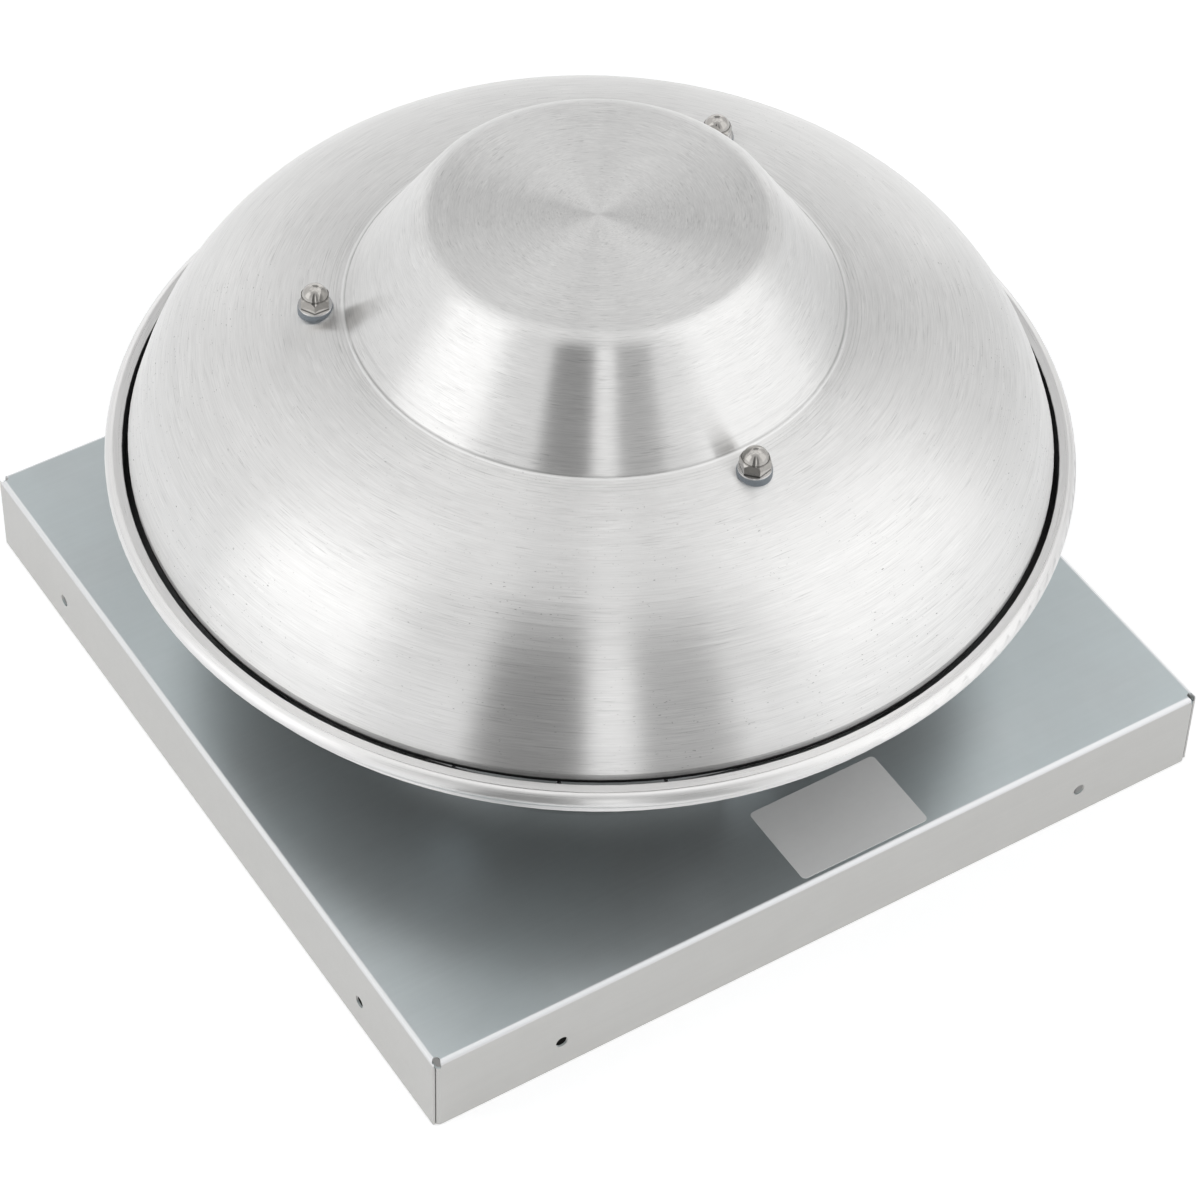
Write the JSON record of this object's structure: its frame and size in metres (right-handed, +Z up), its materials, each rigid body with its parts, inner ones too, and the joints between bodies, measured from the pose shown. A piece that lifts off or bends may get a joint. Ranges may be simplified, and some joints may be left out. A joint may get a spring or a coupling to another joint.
{
  "type": "axial roof exhaust fan",
  "caption": "Downblast roof exhaust fan: a spun hood with a flat-topped hat over a beaded windband and a propeller throat, on a square flanged curb cap.",
  "frame": {"origin": "middle of the square cap, at the bottom edge of its flanges", "axes": "+Z up along the motor shaft, away from the roof; X and Y square to the cap's sides, -Y the side at the right front of the picture"},
  "size_m": [0.5184, 0.5184, 0.3279],
  "materials": {
    "zinc_sheet": "galvanised sheet, soft spangle",
    "throat_aluminium": "spun, satin",
    "windband_aluminium": "spun, satin, rolled bead",
    "hood_aluminium": "spun, concentric brushed lines",
    "bracket_steel": "galvanised strip",
    "bright_hardware": "zinc plated",
    "polished_nut": "polished stainless",
    "seal_rubber": "grey sealing rubber",
    "guard_wire": "plated wire",
    "motor_paint": "semi-gloss black paint",
    "lamination": "stacked sheet steel",
    "winding": "varnished copper",
    "capacitor_can": "drawn can",
    "box_zinc": "galvanised",
    "black_steel": "black oxide",
    "shaft_steel": "ground",
    "spider_steel": "zinc plated",
    "blade_aluminium": "rolled sheet"
  },
  "bodies": {
    "housing": {"curb_cap": "zinc_sheet", "throat": "throat_aluminium", "windband": "windband_aluminium", "hood": "hood_aluminium", "leg_1": "bracket_steel", "leg_2": "bracket_steel", "leg_3": "bracket_steel", "band_arm_1": "bracket_steel", "band_arm_2": "bracket_steel", "band_arm_3": "bracket_steel", "motor_plate": "bracket_steel", "stud_nuts": "bright_hardware", "studs": "bright_hardware", "spacers": "bright_hardware", "seal_washers": "seal_rubber", "hood_washers": "polished_nut", "acorn_nuts": "polished_nut", "throat_rivets": "bright_hardware", "band_rivets": "bright_hardware", "guard_1": "guard_wire", "guard_2": "guard_wire", "guard_3": "guard_wire", "guard_4": "guard_wire", "guard_5": "guard_wire", "guard_6": "guard_wire", "motor_case": "motor_paint", "bell_lower": "motor_paint", "bell_upper": "motor_paint", "stator_core": "lamination", "stator_coils": "winding", "bearings": "shaft_steel", "motor_bolts": "bright_hardware", "junction_box": "box_zinc", "box_cover": "box_zinc", "box_screws": "bright_hardware", "conduit_nipple": "bright_hardware", "capacitor": "capacitor_can", "capacitor_strap": "bright_hardware", "strap_screws": "bright_hardware"},
    "rotor": {"shaft": "shaft_steel", "rotor_core": "lamination", "propeller_hub": "spider_steel", "set_screw": "black_steel", "blade_1": "blade_aluminium", "blade_2": "blade_aluminium", "blade_3": "blade_aluminium", "blade_4": "blade_aluminium", "blade_5": "blade_aluminium", "blade_rivets": "bright_hardware"}
  },
  "joints": [
    {"name": "propeller_spin", "type": "hinge", "parent": "housing", "child": "rotor", "pos_m": [0, 0, 0.088], "axis": [0, 0, 1], "continuous": true}
  ]
}
